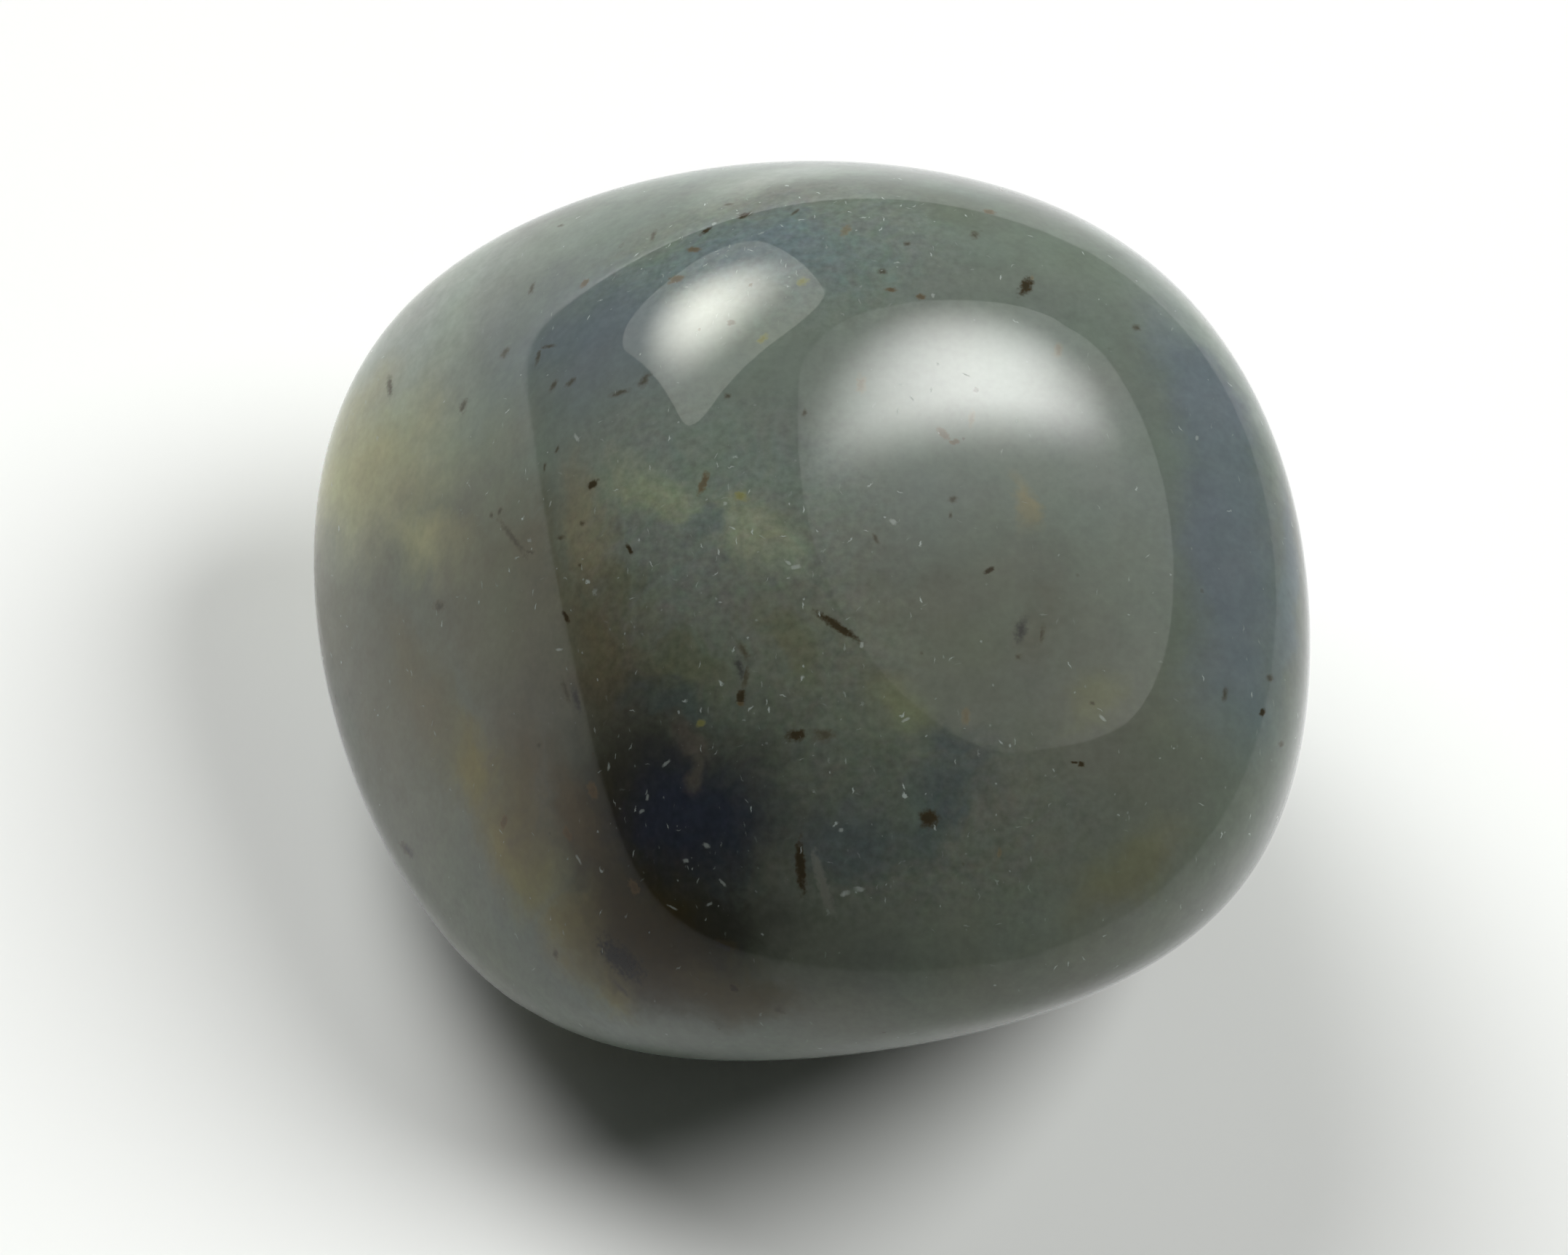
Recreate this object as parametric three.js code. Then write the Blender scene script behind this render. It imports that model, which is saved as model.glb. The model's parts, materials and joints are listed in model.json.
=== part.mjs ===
// A tumble-polished chalcedony stone, about 27.3 x 26.7 x 17.6 mm, as one solid.
//
// Tumbling wears a broken lump down to broad, faintly domed faces that run into each other
// with no edge left between them. The stone is drawn the same way: each worn face is a plane
// at its own reach from the core, and the faces are blended along every direction from the
// core, so the surface is smooth all over. The stone lies on a small flat, its foot.
//
// Millimetres, +Z up. The origin is under the middle of the stone, on the surface it lies on.
// Azimuth 0 faces the front (-Y), 90 faces +X; elevation is above the horizon.

import * as THREE from "three";

// Each worn face: the way it faces, in degrees, and its reach from the core, in millimetres.
const wornFaces = [
  { name: "crown", azimuth: 26, elevation: 76, reach: 6.75 },
  { name: "left crown", azimuth: -111, elevation: 52, reach: 9.4 },
  { name: "back crown", azimuth: 178, elevation: 45, reach: 11.9 },
  { name: "left flank", azimuth: -69, elevation: 30, reach: 8.3 },
  { name: "front left flank", azimuth: -22, elevation: 38, reach: 10.05 },
  { name: "front right flank", azimuth: 52, elevation: 29, reach: 14.45 },
  { name: "back right shoulder", azimuth: 123, elevation: 22, reach: 14.2 },
  { name: "right end", azimuth: 90, elevation: -14, reach: 13.95 },
  { name: "front", azimuth: 18, elevation: -38, reach: 11.85 },
  { name: "front left underside", azimuth: -40, elevation: -8, reach: 15.2 },
  { name: "left back underside", azimuth: -95, elevation: -41, reach: 16.85 },
  { name: "back underside", azimuth: -179, elevation: -44, reach: 10.95 },
  { name: "belly", azimuth: -3, elevation: -78, reach: 10.5 },
];

// How hard the faces meet: 2 would blend them into a ball, 20 would leave crisp edges.
const blendPower = 5.2;

// The foot is worn off flat this far above the lowest point of the belly.
const footWear = 0.25;

// Squares along each side of the wrapped cube that carries the surface.
const squaresPerSide = 28;

const faceNormals = wornFaces.map(({ azimuth, elevation }) => {
  const turn = THREE.MathUtils.degToRad(azimuth);
  const rise = THREE.MathUtils.degToRad(elevation);
  return new THREE.Vector3(
    Math.sin(turn) * Math.cos(rise),
    -Math.cos(turn) * Math.cos(rise),
    Math.sin(rise),
  );
});

// Distance from the core to the surface along a unit direction.
function surfaceReach(direction) {
  let sum = 0;
  wornFaces.forEach(({ reach }, i) => {
    const share = Math.max(0, direction.dot(faceNormals[i]) / reach);
    sum += share ** blendPower;
  });
  return sum ** (-1 / blendPower);
}

// A point on the cube from -1 to 1, turned into a direction so that the squares keep
// nearly even sizes on the round surface.
function evenDirection(cubePoint) {
  const spread = (value) => Math.tan((value * Math.PI) / 4);
  return new THREE.Vector3(
    spread(cubePoint.x),
    spread(cubePoint.y),
    spread(cubePoint.z),
  ).normalize();
}

// The wrapped cube, pushed out to the worn surface.
function wrappedSurface() {
  const n = squaresPerSide;
  const geometry = new THREE.BoxGeometry(2, 2, 2, n, n, n);
  const points = geometry.getAttribute("position");
  const point = new THREE.Vector3();
  for (let i = 0; i < points.count; i++) {
    const direction = evenDirection(point.fromBufferAttribute(points, i));
    const reach = surfaceReach(direction);
    points.setXYZ(i, direction.x * reach, direction.y * reach, direction.z * reach);
  }
  return geometry;
}

// Flattens the lowest part of the belly into the foot.
function wearFoot(geometry) {
  geometry.computeBoundingBox();
  const footLevel = geometry.boundingBox.min.z + footWear;
  const points = geometry.getAttribute("position");
  for (let i = 0; i < points.count; i++) {
    points.setZ(i, Math.max(footLevel, points.getZ(i)));
  }
}

// Moves the stone so that it stands on Z = 0 with the origin under its middle.
function standOnOrigin(geometry) {
  geometry.computeBoundingBox();
  const { min, max } = geometry.boundingBox;
  geometry.translate(-(min.x + max.x) / 2, -(min.y + max.y) / 2, -min.z);
}

function polishedChalcedony() {
  return new THREE.MeshStandardMaterial({
    color: new THREE.Color("#6f7571"),
    roughness: 0.12,
    metalness: 0,
  });
}

function makeStone() {
  const geometry = wrappedSurface();
  wearFoot(geometry);
  standOnOrigin(geometry);
  geometry.computeVertexNormals();
  const stone = new THREE.Mesh(geometry, polishedChalcedony());
  stone.name = "chalcedony_stone";
  return stone;
}

const part = new THREE.Group();
part.add(makeStone());

export default part;
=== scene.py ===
import json
from math import cos, radians, sin, tan, tau

import bpy
from mathutils import Matrix, Vector
from mathutils.kdtree import KDTree

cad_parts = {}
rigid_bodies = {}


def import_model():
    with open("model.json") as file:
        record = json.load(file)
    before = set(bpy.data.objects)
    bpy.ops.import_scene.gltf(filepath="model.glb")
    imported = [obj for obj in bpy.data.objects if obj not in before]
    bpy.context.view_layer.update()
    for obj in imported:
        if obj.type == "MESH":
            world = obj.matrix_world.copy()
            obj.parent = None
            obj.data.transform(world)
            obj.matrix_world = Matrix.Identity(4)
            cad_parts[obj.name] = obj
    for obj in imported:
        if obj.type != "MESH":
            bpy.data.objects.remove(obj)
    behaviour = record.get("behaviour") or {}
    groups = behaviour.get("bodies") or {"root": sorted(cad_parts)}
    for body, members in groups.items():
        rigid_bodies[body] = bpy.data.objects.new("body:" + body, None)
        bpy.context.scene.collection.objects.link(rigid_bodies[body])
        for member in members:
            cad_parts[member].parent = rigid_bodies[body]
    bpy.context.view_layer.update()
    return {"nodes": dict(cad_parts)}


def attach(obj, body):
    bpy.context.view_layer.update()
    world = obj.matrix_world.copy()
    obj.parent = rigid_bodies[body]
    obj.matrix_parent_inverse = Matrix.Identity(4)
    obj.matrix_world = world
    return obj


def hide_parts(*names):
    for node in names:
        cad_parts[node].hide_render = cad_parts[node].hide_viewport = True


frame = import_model()
mm = 0.001


def deselectAll():
    if bpy.context.object and bpy.context.object.mode != "OBJECT":
        bpy.ops.object.mode_set(mode="OBJECT")
    bpy.ops.object.select_all(action="DESELECT")


def makeActive(piece):
    deselectAll()
    piece.hide_set(False)
    piece.select_set(True)
    bpy.context.view_layer.objects.active = piece


def editAll():
    # into edit mode, with the whole mesh of the active piece selected
    bpy.ops.object.mode_set(mode="EDIT")
    bpy.ops.mesh.select_all(action="SELECT")


def addRounding(piece, levels):
    rounding = piece.modifiers.new("rounding", "SUBSURF")
    rounding.levels = levels
    rounding.render_levels = levels


def applyAll(piece):
    makeActive(piece)
    for modifier in list(piece.modifiers):
        bpy.ops.object.modifier_apply(modifier=modifier.name)


view = {
    "core": (0.19, -0.58, 10.20),  # the middle of the stone's bulk, mm
    "elevation": 55,
    "distance": 260,  # mm from the core
    "framePixels": (2156, 1725),
    "pixelsPerMm": 51,  # at the core
    "framedRight": -0.71,  # where the middle of the frame lies from the core, mm
    "framedUp": -0.42,
    "sensor": 36,  # mm
    "clip": (0.01, 20),  # m
}


def viewAxes():
    tilt = radians(view["elevation"])
    right = Vector((1, 0, 0))
    up = Vector((0, sin(tilt), cos(tilt)))
    towards = Vector((0, -cos(tilt), sin(tilt)))
    return right, up, towards


def frameMiddle():
    right, up, _ = viewAxes()
    return Vector(view["core"]) + right * view["framedRight"] + up * view["framedUp"]


def directionTo(azimuth, elevation):
    turn, rise = radians(azimuth), radians(elevation)
    return Vector((sin(turn) * cos(rise), -cos(turn) * cos(rise), sin(rise)))


def facing(azimuth, elevation, roll):
    # across, up and outward, for something that faces the stone from there
    outward = directionTo(azimuth, elevation)
    level = Vector((cos(radians(azimuth)), sin(radians(azimuth)), 0))
    rise = outward.cross(level)
    if rise.z < 0:
        rise = -rise
    across = level * cos(radians(roll)) + rise * sin(radians(roll))
    up = rise * cos(radians(roll)) - level * sin(radians(roll))
    return across, up, outward


def makeCamera():
    right, up, towards = viewAxes()
    bpy.ops.object.camera_add()
    camera = bpy.context.object
    camera.name = "camera"
    turn = Matrix((right, up, towards)).transposed().to_4x4()
    place = (frameMiddle() + towards * view["distance"]) * mm
    camera.matrix_world = Matrix.Translation(place) @ turn
    frameWidth = view["framePixels"][0] / view["pixelsPerMm"]
    camera.data.sensor_width = view["sensor"]
    camera.data.lens = view["sensor"] * view["distance"] / frameWidth
    camera.data.clip_start, camera.data.clip_end = view["clip"]
    camera.data.dof.use_dof = False
    bpy.context.scene.camera = camera
    print("camera:", round(camera.data.lens), "mm lens")


stoneSet = {
    # the mesh
    "cuts": 47,  # across each side of the cube that is blown up into the stone
    "ballRadius": 18,  # mm
    "fineLevels": 1,
    "guideLevels": 3,
    "mergeWithin": 0.001,  # mm
    "quadBend": 40,  # how far two triangles may bend and still become one face, degrees
    "quadSkew": 60,
    # the polish and the milky body
    "base": (0.152, 0.180, 0.152),  # every tone is linear red, green and blue
    "ior": 1.54,
    "polish": 0.03,  # roughness of the tumbled polish
    "scuffed": 0.55,  # roughness in the small scuffs
    "milkiness": 1,
    "milkyReach": 1.6,  # mm that light travels in the milky body
    "reachOfColours": (1, 1, 1),  # red, green and blue travel equally far
    # how uneven it all is
    "wobbles": [(0.4, 1.3), (2.4, 0.3)],  # waves a mm and sway in mm of the zones' edges
    "scatterWobbles": [(7, 0.07)],
    "wobbleDetail": 3,
    "tint": 0.14,  # how far the tones stray, in shares of themselves
    "clouds": 0.3,
    "cloudWaves": (1.5, 4),  # waves a mm and how fine they break up
    "grain": 0.26,
    "grainWaves": (5, 3),
    # how marks are drawn
    "ragged": 1.1,  # how far their edges stray, in shares of their size
    "raggedWaves": (8, 2),
    "heart": 0.8,  # how light the heart of a mark is beside its tone, and then its rim
    "rim": 1.1,
    "heartSpan": (0.1, 0.8),  # where the heart ends and the rim starts
    "markMargin": 0.3,  # mm round a mark where faces still carry it
    "offMark": 9.0,  # the place kept where no mark is near, well past every rim
    "flakeHeart": 0.35,  # the share of a scattered flake that is at full strength
    "unseenSpan": (3, -1),  # mm in front of the core where the unseen side sets in
    # a spot on a slope is stretched, but no further than these
    "leastFacing": 0.25,
    "mostStretch": 2.5,
    "leastWidthSeen": 0.4,
    # the mottled places. Each spot here and below: pixels across and down in a 2156 x 1725
    # frame, half length and half width in mm, turn in degrees (0 is level, 90 upright)
    "mottled": [
        (1000, 830, 8.0, 6.0, -60),
        (1060, 330, 6.5, 2.6, 0),
        (1230, 1120, 6.5, 3.6, 0),
        (960, 1140, 3.6, 3.0, 0),
    ],
    "mottledEdge": 0.6,
    "mottledTint": 0.20,  # the tint and grain that the mottling adds
    "mottledGrain": 0.5,
    # painted rim glow: tones that grow lighter steadily towards one side, standing in for the
    # milky light along the thin rims:
    # the turn of that side in the view (0 is right, 90 up), and where the change starts and ends
    # in mm from the core
    "sides": {
        "rimGlowBack": {"turn": 92, "span": (10.6, 13.6), "tone": (0.24, 0.288, 0.242)},
        "rimGlowUpperLeft": {"turn": 150, "span": (9.8, 13.8), "tone": (0.30, 0.335, 0.29)},
        "rimGlowRight": {"turn": 38, "span": (11.3, 14.0), "tone": (0.262, 0.318, 0.28)},
    },
    # share is how far a zone's tone covers what is under it, and edge how much of a spot
    # its soft rim takes up
    "zones": {
        "warmMiddle": {
            "tone": (0.124, 0.134, 0.102),
            "share": 0.9,
            "edge": 0.9,
            "spots": [(1250, 880, 12.2, 4.9, 0)],
        },
        "greyLowerRight": {
            "tone": (0.122, 0.132, 0.103),
            "share": 0.9,
            "edge": 0.9,
            "spots": [(1470, 1090, 8.6, 6.3, 0)],
        },
        "frontShade": {
            "tone": (0.116, 0.128, 0.102),
            "share": 0.9,
            "edge": 0.9,
            "spots": [(1050, 1260, 6.5, 6.5, 0)],
        },
        # painted rim glow: a pale tone along the bottom rim
        "rimGlowBottom": {
            "tone": (0.150, 0.166, 0.132),
            "share": 0.9,
            "edge": 0.8,
            "spots": [(1400, 1370, 7.5, 2.2, 10), (1230, 1390, 5.9, 1.4, 0)],
        },
        "leftYellow": {
            "tone": (0.37, 0.37, 0.20),
            "share": 0.9,
            "edge": 1.0,
            "spots": [(462, 655, 4.1, 4.3, 80), (588, 742, 2.4, 1.5, -30)],
        },
        "leftLow": {
            "tone": (0.140, 0.141, 0.093),
            "share": 0.9,
            "edge": 0.9,
            "spots": [
                (560, 980, 7.0, 5.5, -60),
                (680, 860, 5.1, 4.5, -60),
                (455, 840, 3.6, 2.4, 85),
            ],
        },
        # painted rim glow: a pale tone along the lower left rim
        "rimGlowLeftLow": {
            "tone": (0.165, 0.188, 0.140),
            "share": 0.8,
            "edge": 0.9,
            "spots": [(620, 1270, 6.5, 2.4, -55)],
        },
        "blueTopLeft": {
            "tone": (0.118, 0.145, 0.156),
            "share": 0.9,
            "edge": 0.9,
            "spots": [(820, 460, 3.7, 3.3, -20)],
        },
        "blueTop": {
            "tone": (0.122, 0.158, 0.162),
            "share": 0.9,
            "edge": 0.9,
            "spots": [(1030, 340, 5.1, 2.0, 5)],
        },
        "blueRight": {
            "tone": (0.134, 0.163, 0.174),
            "share": 0.95,
            "edge": 0.7,
            "spots": [(1700, 765, 6.5, 2.1, -84), (1660, 560, 3.9, 1.4, -65)],
        },
        # painted rim glow: a lighter band along the right outline, tinted cyan like the blue band
        # beside it
        "rimGlowRightCyan": {
            "tone": (0.150, 0.190, 0.205),
            "share": 0.8,
            "edge": 0.8,
            "spots": [(1778, 800, 3.7, 0.55, 88)],
        },
        "beige": {
            "tone": (0.192, 0.178, 0.116),
            "share": 0.85,
            "edge": 0.8,
            "spots": [(805, 725, 2.4, 1.1, -70)],
        },
        "brown": {
            "tone": (0.118, 0.104, 0.063),
            "share": 0.9,
            "edge": 0.9,
            "spots": [(830, 900, 4.0, 2.1, -75)],
        },
        "leftBrownShade": {
            "tone": (0.120, 0.116, 0.075),
            "share": 0.8,
            "edge": 0.9,
            "spots": [(725, 770, 2.7, 1.8, -60)],
        },
        "warmGreyFlank": {
            "tone": (0.115, 0.111, 0.080),
            "share": 0.8,
            "edge": 0.9,
            "spots": [(740, 960, 3.1, 2.2, -70)],
        },
        "lowerMiddle": {
            "tone": (0.099, 0.112, 0.088),
            "share": 0.95,
            "edge": 0.9,
            "spots": [(1160, 1090, 7.0, 4.5, -10)],
        },
        "oliveBand": {
            "tone": (0.118, 0.130, 0.095),
            "share": 0.42,
            "edge": 0.9,
            "spots": [
                (905, 313, 2.5, 0.6, 25),
                (1060, 270, 3.3, 0.7, 4),
                (1300, 283, 3.0, 0.6, -15),
            ],
        },
        "bluePatches": {
            "tone": (0.067, 0.084, 0.086),
            "share": 0.7,
            "edge": 0.8,
            "spots": [
                (1290, 1090, 2.5, 1.5, 45),
                (1170, 1150, 2.0, 1.4, 0),
                (1306, 1018, 1.2, 0.7, -30),
            ],
        },
        "dark": {
            "tone": (0.036, 0.037, 0.028),
            "share": 1.0,
            "edge": 0.85,
            "spots": [(905, 1128, 5.5, 4.6, 70), (960, 1265, 3.3, 2.1, 0)],
        },
        "darkLeft": {
            "tone": (0.040, 0.034, 0.016),
            "share": 1.0,
            "edge": 0.8,
            "spots": [(850, 1190, 4.5, 2.3, -70)],
        },
        "navy": {
            "tone": (0.026, 0.033, 0.050),
            "share": 0.95,
            "edge": 0.8,
            "spots": [(952, 1125, 3.0, 2.6, 0)],
        },
        "vein": {
            "tone": (0.192, 0.170, 0.060),
            "share": 0.9,
            "edge": 0.9,
            "spots": [
                (652, 1065, 2.3, 1.3, -60),
                (712, 1165, 3.0, 1.6, -60),
                (790, 1285, 2.6, 1.4, -52),
                (838, 1350, 1.6, 0.9, -45),
            ],
        },
        "beigeArc": {
            "tone": (0.142, 0.132, 0.076),
            "share": 0.8,
            "edge": 1.0,
            "spots": [(562, 905, 2.2, 1.1, -78), (592, 975, 2.2, 1.1, -62)],
        },
        "orangeTints": {
            "tone": (0.105, 0.078, 0.036),
            "share": 0.75,
            "edge": 1.0,
            "spots": [(785, 1115, 2.5, 1.3, -65), (722, 1085, 2.6, 1.5, -62)],
        },
        "brownPocket": {
            "tone": (0.042, 0.028, 0.007),
            "share": 0.95,
            "edge": 0.8,
            "spots": [(890, 1315, 3.7, 1.9, -30)],
        },
        "pocketEnd": {
            "tone": (0.078, 0.064, 0.026),
            "share": 0.9,
            "edge": 0.9,
            "spots": [(1010, 1370, 2.9, 1.2, -8)],
        },
        "cloud": {
            "tone": (0.210, 0.238, 0.160),
            "share": 0.85,
            "edge": 0.8,
            "spots": [(895, 675, 2.2, 1.2, -20), (1045, 725, 2.0, 1.3, -35)],
        },
        "olivePatches": {
            "tone": (0.112, 0.117, 0.068),
            "share": 0.6,
            "edge": 0.9,
            "spots": [
                (935, 908, 1.7, 0.8, -12),
                (862, 808, 1.4, 0.8, -50),
                (1085, 880, 1.7, 0.7, -60),
            ],
        },
        "blueGreyPatch": {
            "tone": (0.064, 0.082, 0.080),
            "share": 0.6,
            "edge": 0.8,
            "spots": [(905, 955, 1.3, 0.7, -5)],
        },
        "greyPolygon": {
            "tone": (0.128, 0.155, 0.140),
            "share": 0.8,
            "edge": 0.5,
            "spots": [(968, 715, 0.8, 0.6, 20)],
        },
        "paleSpike": {
            "tone": (0.098, 0.088, 0.070),
            "share": 0.75,
            "edge": 0.8,
            "spots": [(958, 1050, 0.95, 0.35, -82), (950, 1010, 0.9, 0.6, -40)],
        },
        "yellowPatches": {
            "tone": (0.165, 0.178, 0.100),
            "share": 0.65,
            "edge": 0.9,
            "spots": [(1248, 953, 1.2, 0.9, -30), (1515, 975, 1.6, 1.1, 20)],
        },
        "orangeStreaks": {
            "tone": (0.212, 0.196, 0.118),
            "share": 0.8,
            "edge": 0.9,
            "spots": [(1418, 688, 1.4, 0.5, 85)],
        },
        "brownStreakZone": {
            "tone": (0.108, 0.108, 0.082),
            "share": 0.7,
            "edge": 1.0,
            "spots": [(1420, 875, 1.6, 0.8, 70)],
        },
        "olive": {
            "tone": (0.142, 0.148, 0.088),
            "share": 0.8,
            "edge": 0.8,
            "spots": [(1550, 1200, 2.7, 1.3, 38)],
        },
    },
    # the sides away from the front: here a spot starts with its azimuth and elevation
    "zonesAround": {
        "blueGreyBack": {
            "tone": (0.165, 0.200, 0.205),
            "share": 0.85,
            "edge": 1.0,
            "spots": [(165, 5, 8.0, 5.0, 20), (110, -30, 6.0, 4.0, -20)],
        },
        "warmBack": {
            "tone": (0.270, 0.262, 0.175),
            "share": 0.8,
            "edge": 1.0,
            "spots": [(-150, -15, 5.5, 3.2, 35), (140, -28, 4.0, 2.0, 15)],
        },
        "oliveUnderside": {
            "tone": (0.190, 0.180, 0.085),
            "share": 0.8,
            "edge": 1.0,
            "spots": [(-40, -45, 5.0, 2.0, -35), (30, -70, 5.0, 2.2, 60)],
        },
        # painted shade: the unseen underside is made dark so that it gives less light back into
        # the contact shadow on the floor
        "paintedShadeUnderside": {
            "tone": (0.046, 0.040, 0.028),
            "share": 0.92,
            "edge": 0.9,
            "spots": [(-10, -60, 9.0, 4.8, 0), (60, -45, 5.0, 3.0, 10), (-170, -50, 4.0, 3.0, 0)],
        },
        "paleClouds": {
            "tone": (0.330, 0.370, 0.320),
            "share": 0.7,
            "edge": 1.0,
            "spots": [
                (-115, -25, 3.0, 1.6, 50),
                (120, 15, 2.6, 1.2, 60),
                (-175, 25, 3.4, 1.4, 10),
            ],
        },
    },
    # the marks set one by one, where grow widens all the spots of a kind
    "marks": {
        "darkNeedles": {
            "grow": 1.12,
            "tone": (0.040, 0.029, 0.012),
            "share": 0.94,
            "edge": 0.6,
            "spots": [
                (1152, 861, 0.76, 0.13, -34),
                (815, 666, 0.20, 0.11, 35),
                (971, 317, 0.22, 0.08, 40),
                (1024, 296, 0.22, 0.08, 20),
                (1411, 393, 0.32, 0.19, 60),
                (1360, 784, 0.17, 0.08, 25),
                (865, 754, 0.21, 0.07, -55),
                (1277, 1125, 0.28, 0.27, 0),
                (1487, 1050, 0.10, 0.09, 0),
                (1477, 1048, 0.12, 0.04, 0),
                (1736, 979, 0.12, 0.10, 60),
                (1019, 957, 0.24, 0.13, 75),
                (1094, 1010, 0.30, 0.18, 0),
                (1101, 1190, 0.85, 0.15, -86),
                (778, 848, 0.22, 0.08, -60),
                (1005, 443, 0.12, 0.10, 0),
                (962, 453, 0.05, 0.05, 0),
                (1032, 392, 0.06, 0.06, 0),
                (1342, 536, 0.09, 0.08, -20),
                (1010, 1358, 0.13, 0.12, 0),
            ],
        },
        "softBrownMarks": {
            "grow": 1.12,
            "tone": (0.072, 0.060, 0.036),
            "share": 0.75,
            "edge": 0.9,
            "spots": [
                (740, 490, 0.30, 0.08, 78),
                (886, 523, 0.26, 0.14, 65),
                (852, 540, 0.34, 0.10, 15),
                (694, 485, 0.24, 0.12, 60),
                (1563, 450, 0.13, 0.12, 0),
                (536, 531, 0.36, 0.14, 98),
                (637, 558, 0.24, 0.15, 80),
                (755, 476, 0.26, 0.07, 5),
                (761, 530, 0.24, 0.08, 60),
                (785, 525, 0.22, 0.09, 40),
                (898, 324, 0.22, 0.09, 75),
                (1002, 281, 0.16, 0.06, 0),
                (1094, 291, 0.18, 0.07, 40),
                (731, 397, 0.20, 0.10, 80),
                (771, 310, 0.09, 0.09, 0),
                (687, 703, 0.16, 0.07, 60),
                (676, 708, 0.12, 0.07, 70),
                (706, 741, 0.75, 0.12, -52),
                (728, 759, 0.20, 0.07, -10),
                (771, 739, 0.16, 0.08, 0),
                (801, 719, 0.11, 0.10, 0),
                (797, 777, 0.08, 0.07, 0),
                (766, 618, 0.14, 0.06, 60),
                (749, 641, 0.16, 0.06, 80),
                (1000, 544, 0.12, 0.10, 0),
                (1106, 567, 0.14, 0.08, 70),
                (1340, 323, 0.16, 0.14, 0),
                (1247, 335, 0.12, 0.07, 0),
                (1213, 373, 0.16, 0.10, 0),
                (1310, 686, 0.15, 0.11, 0),
                (1307, 709, 0.14, 0.06, 90),
                (1204, 740, 0.18, 0.07, -60),
                (1022, 893, 0.34, 0.13, -62),
                (1025, 932, 0.42, 0.11, 80),
                (778, 950, 0.42, 0.10, -72),
                (1133, 1010, 0.34, 0.22, 0),
                (558, 1167, 0.30, 0.20, -40),
                (1072, 1388, 0.20, 0.15, 0),
                (1001, 1299, 0.42, 0.16, -10),
                (764, 1311, 0.16, 0.12, 80),
                (741, 1024, 0.09, 0.09, 0),
                (604, 833, 0.20, 0.18, 0),
                (1746, 932, 0.12, 0.12, 0),
                (1762, 1023, 0.10, 0.10, 0),
                (1684, 955, 0.22, 0.10, 80),
                (1433, 873, 0.30, 0.08, 80),
                (1400, 903, 0.12, 0.10, 0),
                (1502, 967, 0.10, 0.08, 0),
                (855, 1360, 0.42, 0.09, -45),
            ],
        },
        "darkSmear": {
            "tone": (0.008, 0.007, 0.004),
            "share": 0.95,
            "edge": 0.7,
            "spots": [(853, 1319, 0.95, 0.44, -38)],
        },
        "greySmears": {
            "tone": (0.050, 0.048, 0.046),
            "share": 0.8,
            "edge": 0.9,
            "spots": [
                (792, 960, 0.50, 0.14, -75),
                (560, 1168, 0.34, 0.22, -40),
                (1017, 918, 0.55, 0.16, -70),
                (1000, 1300, 0.50, 0.16, -8),
                (1404, 866, 0.50, 0.22, 75),
            ],
        },
        "rustyMarks": {
            "grow": 1.12,
            "tone": (0.115, 0.074, 0.030),
            "share": 0.7,
            "edge": 0.6,
            "spots": [
                (967, 664, 0.36, 0.12, 68),
                (929, 384, 0.24, 0.13, 5),
                (954, 343, 0.19, 0.11, -10),
                (804, 389, 0.16, 0.12, 60),
                (1360, 291, 0.20, 0.08, -10),
                (1225, 398, 0.20, 0.07, 0),
                (1297, 596, 0.24, 0.12, -50),
                (1312, 607, 0.17, 0.09, 10),
                (1266, 408, 0.14, 0.10, 0),
                (693, 1130, 0.22, 0.13, 70),
                (815, 1086, 0.26, 0.16, -60),
                (780, 1146, 0.22, 0.12, -60),
                (872, 1219, 0.24, 0.14, -60),
                (1019, 966, 0.12, 0.09, 0),
            ],
        },
        "tanMarksAndGlint": {
            "grow": 1.2,
            "tone": (0.190, 0.158, 0.095),
            "share": 0.7,
            "edge": 0.8,
            "spots": [
                (1184, 528, 0.28, 0.15, 85),
                (1336, 575, 0.26, 0.10, 85),
                (1455, 482, 0.22, 0.14, 85),
                (1328, 984, 0.26, 0.12, 85),
                # painted glint: the gold glint at the end of the dark needle beside it
                (1417, 385, 0.16, 0.07, 60),
                (1163, 317, 0.20, 0.15, 60),
                (1374, 1172, 0.15, 0.06, 85),
            ],
        },
        "yellowMarks": {
            "tone": (0.250, 0.245, 0.075),
            "share": 0.7,
            "edge": 0.8,
            "spots": [
                (1019, 682, 0.24, 0.19, 0),
                (1103, 387, 0.22, 0.15, 20),
                (963, 994, 0.14, 0.12, 0),
                (1048, 466, 0.24, 0.12, 40),
            ],
        },
        "paleStreak": {
            "tone": (0.190, 0.195, 0.165),
            "share": 0.8,
            "edge": 0.9,
            "spots": [(1131, 1214, 1.2, 0.18, -73)],
        },
        "whiteFlecks": {
            "tone": (0.420, 0.465, 0.430),
            "share": 0.6,
            "edge": 0.8,
            "spots": [
                (1228, 717, 0.14, 0.08, -30),
                (981, 308, 0.12, 0.06, 40),
                (1283, 406, 0.08, 0.06, 80),
                (1095, 779, 0.16, 0.08, 10),
                (1084, 774, 0.10, 0.05, -40),
                (1185, 886, 0.10, 0.06, 80),
                (997, 692, 0.08, 0.06, 80),
                (971, 1162, 0.13, 0.08, -20),
                (943, 1183, 0.09, 0.08, 0),
                (796, 1182, 0.17, 0.05, -60),
                (994, 1214, 0.17, 0.05, -45),
                (975, 1243, 0.12, 0.05, 30),
                (924, 1247, 0.18, 0.04, -25),
                (882, 1115, 0.10, 0.06, 30),
                (890, 1096, 0.12, 0.05, 80),
                (916, 1049, 0.16, 0.05, 40),
                (837, 1054, 0.13, 0.05, 85),
                (769, 893, 0.13, 0.05, 0),
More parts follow.
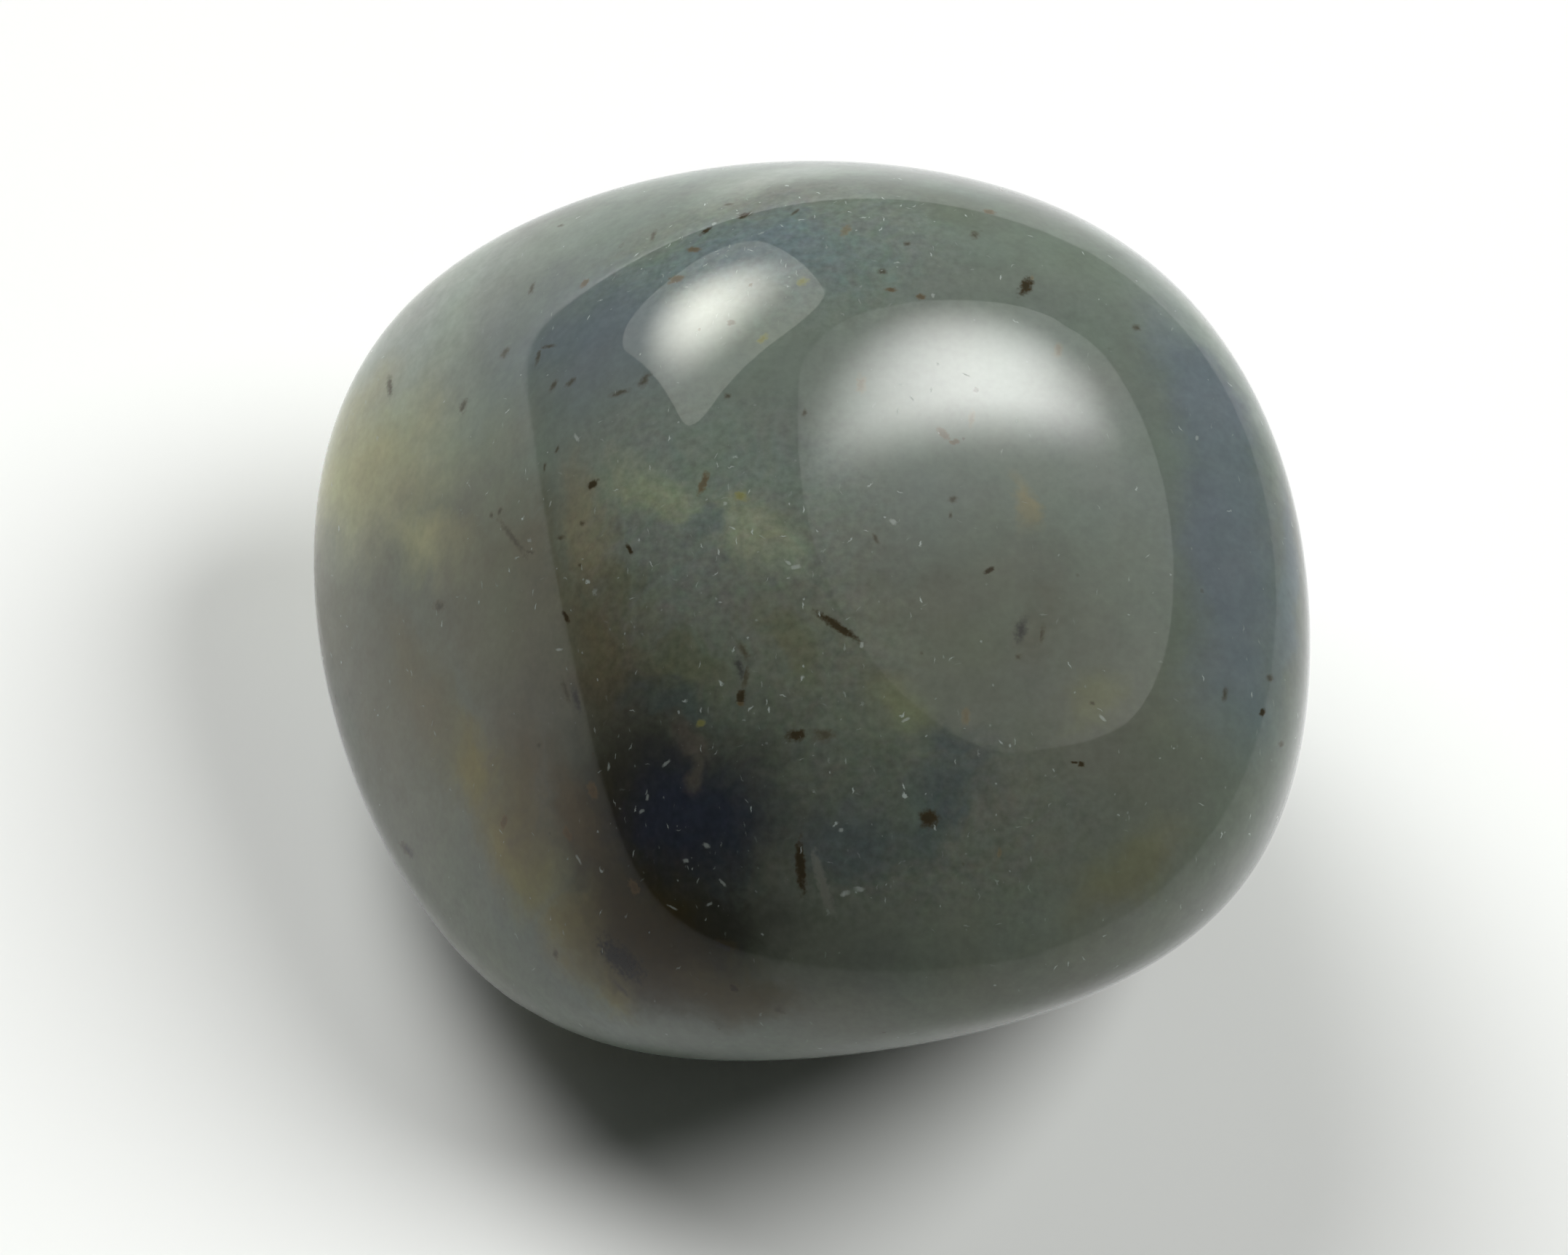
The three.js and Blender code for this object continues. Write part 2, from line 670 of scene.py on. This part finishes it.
                (1162, 1228, 0.15, 0.08, 20),
                (1181, 1222, 0.17, 0.08, -10),
                (1157, 1141, 0.08, 0.07, 0),
                (1246, 989, 0.16, 0.05, 30),
                (1516, 987, 0.15, 0.05, -45),
                (1646, 602, 0.09, 0.06, 80),
                (793, 602, 0.14, 0.07, -60),
            ],
        },
    },
    # small marks all over, in cells of a three-dimensional pattern, each a thin flake that
    # the surface cuts: cell in mm, half width and half thickness of the flake in mm, and
    # the share of the cells that keep theirs, in plain and in mottled places
    "scatters": {
        "paleDashes": {
            "cell": 0.44,
            "flake": 0.13,
            "thin": 0.026,
            "kept": 0.22,
            "keptMottled": 0.8,
            "tone": (0.36, 0.41, 0.38),
            "share": 0.75,
            "scuffed": True,
        },
        "paleSpecks": {
            "cell": 0.36,
            "flake": 0.05,
            "thin": 0.035,
            "kept": 0.25,
            "keptMottled": 0.9,
            "tone": (0.30, 0.345, 0.32),
            "share": 0.65,
            "scuffed": True,
        },
        "brownNeedles": {
            "cell": 2.1,
            "flake": 0.30,
            "thin": 0.09,
            "kept": 0.75,
            "keptMottled": 0.75,
            "tone": (0.050, 0.036, 0.018),
            "share": 0.75,
            "scuffed": False,
            "unseenOnly": True,
        },
        "brownDust": {
            "cell": 1.1,
            "flake": 0.07,
            "thin": 0.05,
            "kept": 0.5,
            "keptMottled": 0.7,
            "tone": (0.070, 0.058, 0.035),
            "share": 0.6,
            "scuffed": False,
        },
    },
}


def makeGuide():
    # a merged, rounded copy of the solid, which the fine mesh is wrapped onto
    guide = frame["nodes"]["chalcedony_stone"].copy()
    guide.data = guide.data.copy()
    guide.name = "guide"
    guide.parent = None
    for key in list(guide.keys()):
        del guide[key]
    bpy.context.scene.collection.objects.link(guide)
    makeActive(guide)
    editAll()
    bpy.ops.mesh.remove_doubles(threshold=stoneSet["mergeWithin"] * mm)
    bpy.ops.mesh.tris_convert_to_quads(
        face_threshold=radians(stoneSet["quadBend"]), shape_threshold=radians(stoneSet["quadSkew"])
    )
    bpy.ops.object.mode_set(mode="OBJECT")
    print("guide:", len(guide.data.vertices), "points", len(guide.data.polygons), "faces")
    addRounding(guide, stoneSet["guideLevels"])
    applyAll(guide)
    return guide


def makeStone():
    guide = makeGuide()
    deselectAll()
    bpy.ops.mesh.primitive_cube_add(
        size=2 * stoneSet["ballRadius"] * mm, location=Vector(view["core"]) * mm
    )
    stone = bpy.context.object
    stone.name = "stone"
    editAll()
    bpy.ops.mesh.subdivide(number_cuts=stoneSet["cuts"])
    bpy.ops.transform.tosphere(value=1)
    bpy.ops.object.mode_set(mode="OBJECT")
    wrap = stone.modifiers.new("wrap", "SHRINKWRAP")
    wrap.target = guide
    wrap.wrap_method = "PROJECT"
    wrap.use_negative_direction = True
    wrap.use_positive_direction = False
    addRounding(stone, stoneSet["fineLevels"])
    applyAll(stone)
    bpy.data.objects.remove(guide)
    makeActive(stone)
    # its place goes into the mesh, and the object sits at the origin
    bpy.ops.object.transform_apply(location=True, rotation=True, scale=True)
    bpy.ops.object.shade_smooth()
    print("stone body:", len(stone.data.polygons), "faces")
    return stone


def feed(tree, socket, value):
    # a socket takes a number or a vector as it is, and another node's socket as a link
    if isinstance(value, (int, float, tuple, Vector)):
        socket.default_value = value
    else:
        tree.links.new(value, socket)


def mathNode(tree, operation, *values):
    node = tree.nodes.new("ShaderNodeMath")
    node.operation = operation
    for socket, value in zip(node.inputs, values):
        feed(tree, socket, value)
    return node.outputs["Value"]


def vectorNode(tree, operation, *values):
    node = tree.nodes.new("ShaderNodeVectorMath")
    node.operation = operation
    sockets = [node.inputs[0], node.inputs["Scale"]] if operation == "SCALE" else node.inputs
    for socket, value in zip(sockets, values):
        feed(tree, socket, value)
    return node.outputs["Value" if operation in ("LENGTH", "DOT_PRODUCT") else "Vector"]


def smoothRange(tree, value, low, high, top=1):
    # 0 up to low and top from high on, with a soft rise between
    node = tree.nodes.new("ShaderNodeMapRange")
    node.interpolation_type = "SMOOTHSTEP"
    node.inputs["From Min"].default_value = low
    node.inputs["From Max"].default_value = high
    node.inputs["To Max"].default_value = top
    tree.links.new(value, node.inputs["Value"])
    return node.outputs["Result"]


def largest(tree, values):
    total = values[0]
    for value in values[1:]:
        total = mathNode(tree, "MAXIMUM", total, value)
    return total


def layOver(tree, under, mask, tone):
    mix = tree.nodes.new("ShaderNodeMix")
    mix.data_type = "RGBA"
    tree.links.new(mask, mix.inputs["Factor"])
    # the node's colour sockets share their names with others, so they go by number
    for socket, colour in ((mix.inputs[6], under), (mix.inputs[7], tone)):
        feed(tree, socket, (*colour, 1) if isinstance(colour, tuple) else colour)
    return mix.outputs[2]


def noiseNode(tree, coords, scale, detail, output):
    noise = tree.nodes.new("ShaderNodeTexNoise")
    noise.inputs["Scale"].default_value = scale
    noise.inputs["Detail"].default_value = detail
    tree.links.new(coords, noise.inputs["Vector"])
    return noise.outputs[output]


def swingOf(tree, noise):
    # a noise lies round a half, and its swing round nought
    return vectorNode(tree, "SUBTRACT", noise, (0.5, 0.5, 0.5))


def wobbled(tree, coords, wobbles):
    # coordinates that sway, so that what is laid by them gets uneven edges, and their noises
    noises = []
    for scale, sway in wobbles:
        noise = noiseNode(tree, coords, scale, stoneSet["wobbleDetail"], "Color")
        coords = vectorNode(tree, "MULTIPLY_ADD", swingOf(tree, noise), (2 * sway,) * 3, coords)
        noises.append(noise)
    return coords, noises


def varied(tree, tone, noise, swing):
    # the tone made lighter, darker or tinted by the noise, by so large a share of itself
    strayed = vectorNode(tree, "SCALE", swingOf(tree, noise), swing)
    return vectorNode(tree, "MULTIPLY_ADD", strayed, tone, tone)


def pixelRay(across, down):
    # where a ray through that pixel starts, and where it goes
    right, up, towards = viewAxes()
    start = frameMiddle() + towards * view["distance"]
    width, height = view["framePixels"]
    shift = right * (across - width / 2) - up * (down - height / 2)
    return start, (frameMiddle() + shift / view["pixelsPerMm"] - start).normalized()


def placeOn(stone, spot, around):
    # where the spot's middle lies on the stone in mm, the frame it lies flat in, and its
    # size there: a surface that slopes away from the eye makes it longer and wider
    *aimedAt, halfLength, halfWidth, turn = spot
    if around:
        right, up, towards = facing(*aimedAt, 0)
        start, heading = Vector(view["core"]) + towards * view["distance"], -towards
    else:
        right, up, towards = viewAxes()
        start, heading = pixelRay(*aimedAt)
    found, point, normal, _ = stone.ray_cast(start * mm, heading)
    if not found:
        raise ValueError(f"no stone at {aimedAt}")
    wanted = right * cos(radians(turn)) + up * sin(radians(turn))
    slope = max(towards.dot(normal), stoneSet["leastFacing"])
    along = wanted - towards * wanted.dot(normal) / slope
    length = halfLength * min(along.length, stoneSet["mostStretch"])
    along = (along - normal * along.dot(normal)).normalized()
    beside = normal.cross(along)
    widthSeen = (beside - towards * beside.dot(towards)).length
    width = halfWidth / max(widthSeen, stoneSet["leastWidthSeen"])
    return point / mm, Matrix((along, beside, normal)).transposed(), length, width


def spotShade(tree, coords, stone, spot, around):
    # 1 in the middle of the spot, falling to 0 on its rim
    middle, turn, length, width = placeOn(stone, spot, around)
    place = tree.nodes.new("ShaderNodeMapping")
    place.vector_type = "TEXTURE"
    place.inputs["Location"].default_value = middle
    place.inputs["Rotation"].default_value = turn.to_euler()
    place.inputs["Scale"].default_value = (length, width, max(length, width))
    ball = tree.nodes.new("ShaderNodeTexGradient")
    ball.gradient_type = "SPHERICAL"
    tree.links.new(coords, place.inputs["Vector"])
    tree.links.new(place.outputs["Vector"], ball.inputs["Vector"])
    return ball.outputs["Fac"]


def layRimGlow(tree, coords, tone):
    # painted rim glow: each side's pale tone is laid over, fading in towards that side's rim
    right, up, _ = viewAxes()
    for side in stoneSet["sides"].values():
        heading = right * cos(radians(side["turn"])) + up * sin(radians(side["turn"]))
        reach = vectorNode(tree, "DOT_PRODUCT", coords, heading)
        start, end = [Vector(view["core"]).dot(heading) + away for away in side["span"]]
        tone = layOver(tree, tone, smoothRange(tree, reach, start, end), side["tone"])
    return tone


def layZones(tree, coords, stone, tone):
    for kind in ("zones", "zonesAround"):
        around = kind == "zonesAround"
        for zone in stoneSet[kind].values():
            shades = [spotShade(tree, coords, stone, spot, around) for spot in zone["spots"]]
            mask = smoothRange(tree, largest(tree, shades), 0, zone["edge"], zone["share"])
            tone = layOver(tree, tone, mask, zone["tone"])
    return tone


def placeInMark(point, place):
    # the point in the mark's own frame, where the mark's rim is 1 from its middle
    unturn, middle, halfSize, _ = place
    local = unturn @ (point / mm - middle)
    return Vector((local.x / halfSize[0], local.y / halfSize[1]))


def setMarks(stone):
    # each face near a mark keeps at its corners its place in that mark's frame, so marks
    # stay crisp however large the faces are, and third the softness of the mark's rim
    mesh = stone.data
    faces = KDTree(len(mesh.polygons))
    for face in mesh.polygons:
        faces.insert(face.center, face.index)
    faces.balance()
    nearest = {}
    for group in stoneSet["marks"].values():
        grow = group.get("grow", 1)
        for spot in group["spots"]:
            middle, turn, length, width = placeOn(stone, spot, False)
            place = turn.transposed(), middle, (length * grow, width * grow), group
            reachable = (length + stoneSet["markMargin"]) * mm
            for centre, index, _ in faces.find_range(middle * mm, reachable):
                reach = placeInMark(centre, place).length
                if index not in nearest or reach < nearest[index][0]:
                    nearest[index] = reach, place
    places = [stoneSet["offMark"]] * (3 * len(mesh.loops))
    tones = [0.0] * (4 * len(mesh.loops))
    for index, (_, place) in nearest.items():
        group = place[-1]
        for loop in mesh.polygons[index].loop_indices:
            corner = mesh.vertices[mesh.loops[loop].vertex_index].co
            places[3 * loop : 3 * loop + 3] = *placeInMark(corner, place), group["edge"]
            tones[4 * loop : 4 * loop + 4] = *group["tone"], group["share"]
    mesh.attributes.new("markPlace", "FLOAT_VECTOR", "CORNER").data.foreach_set("vector", places)
    mesh.attributes.new("markTone", "FLOAT_COLOR", "CORNER").data.foreach_set("color", tones)
    count = sum(len(group["spots"]) for group in stoneSet["marks"].values())
    print("marks:", count, "on", len(nearest), "faces")


def readAttribute(tree, name):
    node = tree.nodes.new("ShaderNodeAttribute")
    node.attribute_name = name
    return node


def layMarks(tree, coords, tone):
    place = readAttribute(tree, "markPlace").outputs["Vector"]
    own = readAttribute(tree, "markTone")
    noise = noiseNode(tree, coords, *stoneSet["raggedWaves"], "Color")
    ragged = (stoneSet["ragged"],) * 3
    uneven = vectorNode(tree, "MULTIPLY_ADD", swingOf(tree, noise), ragged, place)
    level = vectorNode(tree, "MULTIPLY", uneven, (1, 1, 0))
    # fourth powers make the ends blunter than an oval's, and the mean of both is used
    squares = vectorNode(tree, "MULTIPLY", level, level)
    blunt = mathNode(tree, "SQRT", vectorNode(tree, "LENGTH", squares))
    oval = vectorNode(tree, "LENGTH", level)
    reach = mathNode(tree, "DIVIDE", mathNode(tree, "ADD", blunt, oval), 2)
    split = tree.nodes.new("ShaderNodeSeparateXYZ")
    tree.links.new(place, split.inputs["Vector"])
    inwards = mathNode(tree, "DIVIDE", mathNode(tree, "SUBTRACT", 1, reach), split.outputs["Z"])
    mask = mathNode(tree, "MULTIPLY", smoothRange(tree, inwards, 0, 1), own.outputs["Alpha"])
    outwards = smoothRange(tree, reach, *stoneSet["heartSpan"])
    rise = stoneSet["rim"] - stoneSet["heart"]
    lightness = mathNode(tree, "MULTIPLY_ADD", outwards, rise, stoneSet["heart"])
    return layOver(tree, tone, mask, vectorNode(tree, "SCALE", own.outputs["Color"], lightness))


def scatterMask(tree, coords, scatter, mottled):
    cells = tree.nodes.new("ShaderNodeTexVoronoi")
    cells.inputs["Scale"].default_value = 1 / scatter["cell"]
    tree.links.new(coords, cells.inputs["Vector"])
    turn = tree.nodes.new("ShaderNodeVectorRotate")
    turn.rotation_type = "EULER_XYZ"
    local = vectorNode(tree, "SUBTRACT", coords, cells.outputs["Position"])
    anyTurn = vectorNode(tree, "MULTIPLY", cells.outputs["Color"], (tau, tau, tau))
    tree.links.new(local, turn.inputs["Vector"])
    tree.links.new(anyTurn, turn.inputs["Rotation"])
    shape = (1 / scatter["flake"], 1 / scatter["flake"], 1 / scatter["thin"])
    flake = vectorNode(tree, "MULTIPLY", turn.outputs["Vector"], shape)
    away = vectorNode(tree, "LENGTH", flake)
    inside = smoothRange(tree, away, 1, stoneSet["flakeHeart"], scatter["share"])
    chance = tree.nodes.new("ShaderNodeSeparateColor")
    tree.links.new(cells.outputs["Color"], chance.inputs["Color"])
    more = scatter["keptMottled"] - scatter["kept"]
    limit = mathNode(tree, "MULTIPLY_ADD", mottled, more, scatter["kept"])
    kept = mathNode(tree, "LESS_THAN", chance.outputs["Blue"], limit)
    strength = mathNode(tree, "MULTIPLY", kept, chance.outputs["Red"])
    mask = mathNode(tree, "MULTIPLY", inside, strength)
    if scatter.get("unseenOnly"):
        # the marks of the upper side are set one by one, so these stay below and behind it
        _, _, towards = viewAxes()
        depth = vectorNode(tree, "DOT_PRODUCT", coords, towards)
        start, end = [Vector(view["core"]).dot(towards) + away for away in stoneSet["unseenSpan"]]
        mask = mathNode(tree, "MULTIPLY", mask, smoothRange(tree, depth, start, end))
    return mask


def makeChalcedony(stone):
    material = bpy.data.materials.new("polished_chalcedony")
    material.use_nodes = True
    tree = material.node_tree
    shader = tree.nodes["Principled BSDF"]
    objectCoords = tree.nodes.new("ShaderNodeTexCoord")
    inMm = tree.nodes.new("ShaderNodeMapping")
    inMm.inputs["Scale"].default_value = (1 / mm,) * 3
    tree.links.new(objectCoords.outputs["Object"], inMm.inputs["Vector"])
    coords = inMm.outputs["Vector"]
    swaying, (broadNoise, fineNoise) = wobbled(tree, coords, stoneSet["wobbles"])
    tone = layRimGlow(tree, swaying, stoneSet["base"])
    tone = layZones(tree, swaying, stone, tone)

    # faint tints, clouds and grain, stronger where the stone is mottled
    shades = [spotShade(tree, swaying, stone, spot, False) for spot in stoneSet["mottled"]]
    mottled = smoothRange(tree, largest(tree, shades), 0, stoneSet["mottledEdge"])
    fineTint = mathNode(tree, "MULTIPLY", mottled, stoneSet["mottledTint"])
    clouds = noiseNode(tree, coords, *stoneSet["cloudWaves"], "Fac")
    grain = noiseNode(tree, coords, *stoneSet["grainWaves"], "Fac")
    moreGrain = stoneSet["mottledGrain"]
    grainSwing = mathNode(tree, "MULTIPLY_ADD", mottled, moreGrain, stoneSet["grain"])
    tone = varied(tree, tone, broadNoise, stoneSet["tint"])
    tone = varied(tree, tone, fineNoise, fineTint)
    tone = varied(tree, tone, clouds, stoneSet["clouds"])
    tone = varied(tree, tone, grain, grainSwing)

    tone = layMarks(tree, coords, tone)
    uneven, _ = wobbled(tree, coords, stoneSet["scatterWobbles"])
    scuffs = []
    for scatter in stoneSet["scatters"].values():
        mask = scatterMask(tree, uneven, scatter, mottled)
        tone = layOver(tree, tone, mask, scatter["tone"])
        if scatter["scuffed"]:
            scuffs.append(mask)
    tree.links.new(tone, shader.inputs["Base Color"])
    rougher = stoneSet["scuffed"] - stoneSet["polish"]
    rough = mathNode(tree, "MULTIPLY_ADD", largest(tree, scuffs), rougher, stoneSet["polish"])
    tree.links.new(rough, shader.inputs["Roughness"])
    shader.inputs["IOR"].default_value = stoneSet["ior"]
    shader.inputs["Subsurface Weight"].default_value = stoneSet["milkiness"]
    shader.inputs["Subsurface Radius"].default_value = stoneSet["reachOfColours"]
    shader.inputs["Subsurface Scale"].default_value = stoneSet["milkyReach"] * mm
    print("chalcedony:", len(tree.nodes), "nodes")
    return material


floorSet = {
    "size": 6,  # m
    "white": 0.91,
    "tint": (0.985, 1, 0.972),
    "roughness": 0.9,
    # painted light: what the polish mirrors of the floor is a pool of light painted into the
    # floor's colour, dimming away from the stone as on a lit table, and staying brightest towards
    # the back left
    "mirroredFar": 0.37,
    "mirroredSwing": 0.10,
    "brightestTowards": -170,
    "mirroredNear": 0.85,
    "dimmingReach": 27,  # mm
}


def makeFloor():
    deselectAll()
    bpy.ops.mesh.primitive_plane_add(size=floorSet["size"], location=(0, 0, 0))
    floor = bpy.context.object
    floor.name = "floor"
    material = bpy.data.materials.new("white_ground")
    material.use_nodes = True
    tree = material.node_tree
    shader = tree.nodes["Principled BSDF"]
    shader.inputs["Roughness"].default_value = floorSet["roughness"]
    # painted light: for rays that the polish mirrors, the floor's colour dims with the distance
    # from the stone and is brightest towards the back left
    path = tree.nodes.new("ShaderNodeLightPath")
    place = tree.nodes.new("ShaderNodeTexCoord").outputs["Object"]
    length = vectorNode(tree, "LENGTH", place)
    away = mathNode(tree, "DIVIDE", length, floorSet["dimmingReach"] * mm)
    spread = mathNode(tree, "MULTIPLY_ADD", away, away, 1)
    fall = mathNode(tree, "DIVIDE", floorSet["mirroredNear"], spread)
    side = vectorNode(tree, "NORMALIZE", place)
    heading = directionTo(floorSet["brightestTowards"], 0)
    turn = vectorNode(tree, "DOT_PRODUCT", side, heading)
    far = mathNode(tree, "MULTIPLY_ADD", turn, floorSet["mirroredSwing"], floorSet["mirroredFar"])
    mirrored = mathNode(tree, "ADD", fall, far)
    dimmed = vectorNode(tree, "SCALE", (floorSet["white"],) * 3, mirrored)
    lit = tuple(floorSet["white"] * share for share in floorSet["tint"])
    tone = layOver(tree, lit, path.outputs["Is Glossy Ray"], dimmed)
    tree.links.new(tone, shader.inputs["Base Color"])
    floor.data.materials.append(material)
    print("floor:", floorSet["size"], "m")


softboxSet = {
    "distance": 500,  # mm from the stone's core
    "cornerSteps": 8,
    "skirtSize": 1.5,  # the weaker patch round the hot one, in shares of its size
    # middles and sizes are shares of the distance, across and up the box's own face, and
    # each patch is masked off to the left of its "from"
    "boxes": {
        "softbox_back_right": {
            "azimuth": 138,
            "elevation": 67,
            "roll": -32,
            "middle": (-0.035, -0.027),
            "halfSize": (0.355, 0.262),
            "corner": 0.14,
            "colour": (0.985, 1, 0.965),
            "glowTop": 0.35,
            "glowBottom": 0.85,
            "glowSpan": (0.1, -0.2),
            "hotGlow": 11.7,
            "hotMiddle": (0.050, 0.0),
            "hotSize": (0.285, 0.222),
            "hotTurn": -25,
            "hotFrom": (-0.073, 0.027),
            "skirtGlow": 1.8,
            "skirtFrom": (-0.17, 0.0),
        },
        "softbox_back_left": {
            "azimuth": -152,
            "elevation": 37,
            "roll": 4,
            "middle": (-0.01, -0.02),
            "halfSize": (0.263, 0.425),
            "corner": 0.13,
            "colour": (1, 1, 0.9),
            "glowTop": 1.4,
            "glowBottom": 0.8,
            "glowSpan": (0.1, -0.2),
            "hotGlow": 11.2,
            "hotMiddle": (0.0, -0.035),
            "hotSize": (0.275, 0.367),
            "hotTurn": 12,
            "hotFrom": (-1, -0.9),
            "skirtGlow": 0.6,
            "skirtFrom": (-1, -0.9),
        },
    },
}


def glowMaterial(name, box):
    material = bpy.data.materials.new(name + "_glow")
    material.use_nodes = True
    tree = material.node_tree
    tree.nodes.clear()
    scale = softboxSet["distance"] * mm
    skirtSize = Vector(box["hotSize"]) * scale * softboxSet["skirtSize"]
    onFace = tree.nodes.new("ShaderNodeTexCoord").outputs["Object"]
    place = tree.nodes.new("ShaderNodeMapping")
    place.vector_type = "TEXTURE"
    place.inputs["Location"].default_value = (*(Vector(box["hotMiddle"]) * scale), 0)
    place.inputs["Rotation"].default_value = (0, 0, radians(box["hotTurn"]))
    place.inputs["Scale"].default_value = (*skirtSize, scale)
    blob = tree.nodes.new("ShaderNodeTexGradient")
    blob.gradient_type = "SPHERICAL"
    split = tree.nodes.new("ShaderNodeSeparateXYZ")
    tree.links.new(onFace, place.inputs["Vector"])
    tree.links.new(place.outputs["Vector"], blob.inputs["Vector"])
    tree.links.new(onFace, split.inputs["Vector"])
    patches = []
    for patch, size in (("hot", 1), ("skirt", softboxSet["skirtSize"])):
        rim = 1 - size / softboxSet["skirtSize"]
        bell = smoothRange(tree, blob.outputs["Fac"], rim, 1, box[patch + "Glow"])
        mask = smoothRange(tree, split.outputs["X"], *(Vector(box[patch + "From"]) * scale))
        patches.append(mathNode(tree, "MULTIPLY", bell, mask))
    low = smoothRange(tree, split.outputs["Y"], *(Vector(box["glowSpan"]) * scale))
    rise = box["glowBottom"] - box["glowTop"]
    glow = mathNode(tree, "MULTIPLY_ADD", low, rise, box["glowTop"])
    strength = mathNode(tree, "ADD", mathNode(tree, "ADD", *patches), glow)
    light = tree.nodes.new("ShaderNodeEmission")
    light.inputs["Color"].default_value = (*box["colour"], 1)
    out = tree.nodes.new("ShaderNodeOutputMaterial")
    tree.links.new(strength, light.inputs["Strength"])
    tree.links.new(light.outputs["Emission"], out.inputs["Surface"])
    material.cycles.emission_sampling = "NONE"
    return material


def makeSoftbox(name, box):
    # a panel that only the polish mirrors: it lights nothing and throws no shadow
    scale = softboxSet["distance"] * mm
    width, height = [2 * half * scale for half in box["halfSize"]]
    right, up = [share * scale for share in box["middle"]]
    deselectAll()
    bpy.ops.mesh.primitive_plane_add(size=1, location=(0, 0, 0))
    panel = bpy.context.object
    panel.name = name
    editAll()
    bpy.ops.transform.resize(value=(width, height, 1))
    bpy.ops.mesh.bevel(
        offset=box["corner"] * scale, segments=softboxSet["cornerSteps"], affect="VERTICES"
    )
    bpy.ops.transform.translate(value=(right, up, 0))
    bpy.ops.object.mode_set(mode="OBJECT")
    *axes, outward = facing(box["azimuth"], box["elevation"], box["roll"])
    turn = Matrix((*axes, outward)).transposed().to_4x4()
    panel.matrix_world = Matrix.Translation(Vector(view["core"]) * mm + outward * scale) @ turn
    panel.data.materials.append(glowMaterial(name, box))
    panel.visible_camera = False
    panel.visible_diffuse = False
    panel.visible_shadow = False
    print("softbox:", name)


lampSet = {
    "distance": 1500,  # mm from the stone's core
    # azimuth and elevation from the stone, the half angle that the lamp fills, and watts
    "lamps": {
        "key_right": {"azimuth": 98, "elevation": 47, "spread": 16, "power": 18.3},
        "key_back_left": {"azimuth": -150, "elevation": 45, "spread": 20, "power": 11.8},
        "key_low_left": {"azimuth": -156, "elevation": 20, "spread": 20, "power": 14.5},
    },
}


def makeLamp(name, lamp):
    deselectAll()
    bpy.ops.object.light_add(type="AREA")
    piece = bpy.context.object
    piece.name = name
    outward = directionTo(lamp["azimuth"], lamp["elevation"])
    piece.location = (Vector(view["core"]) + outward * lampSet["distance"]) * mm
    piece.rotation_mode = "QUATERNION"
    piece.rotation_quaternion = outward.to_track_quat("Z", "Y")
    piece.data.shape = "DISK"
    piece.data.size = 2 * lampSet["distance"] * tan(radians(lamp["spread"])) * mm
    piece.data.energy = lamp["power"]
    piece.visible_glossy = False
    piece.visible_camera = False
    print("lamp:", name)


roomSet = {
    "seen": (1, 1, 1),
    "fill": (1, 0.97, 0.94),  # the dim light that the walls give the stone
    "fillStrength": 0.025,
}


def makeRoom():
    world = bpy.data.worlds.new("studio")
    bpy.context.scene.world = world
    world.use_nodes = True
    tree = world.node_tree
    tree.nodes.clear()
    path = tree.nodes.new("ShaderNodeLightPath")
    pale = tree.nodes.new("ShaderNodeBackground")
    pale.inputs["Color"].default_value = (*roomSet["seen"], 1)
    dim = tree.nodes.new("ShaderNodeBackground")
    dim.inputs["Color"].default_value = (*roomSet["fill"], 1)
    dim.inputs["Strength"].default_value = roomSet["fillStrength"]
    mix = tree.nodes.new("ShaderNodeMixShader")
    out = tree.nodes.new("ShaderNodeOutputWorld")
    tree.links.new(path.outputs["Is Camera Ray"], mix.inputs["Fac"])
    tree.links.new(dim.outputs["Background"], mix.inputs[1])
    tree.links.new(pale.outputs["Background"], mix.inputs[2])
    tree.links.new(mix.outputs["Shader"], out.inputs["Surface"])
    bpy.context.scene.view_settings.view_transform = "Standard"
    print("room: studio")


makeCamera()
stone = makeStone()
stone.data.materials.append(makeChalcedony(stone))
setMarks(stone)
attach(stone, "root")
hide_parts("chalcedony_stone")
makeFloor()
for name, box in softboxSet["boxes"].items():
    makeSoftbox(name, box)
for name, lamp in lampSet["lamps"].items():
    makeLamp(name, lamp)
makeRoom()
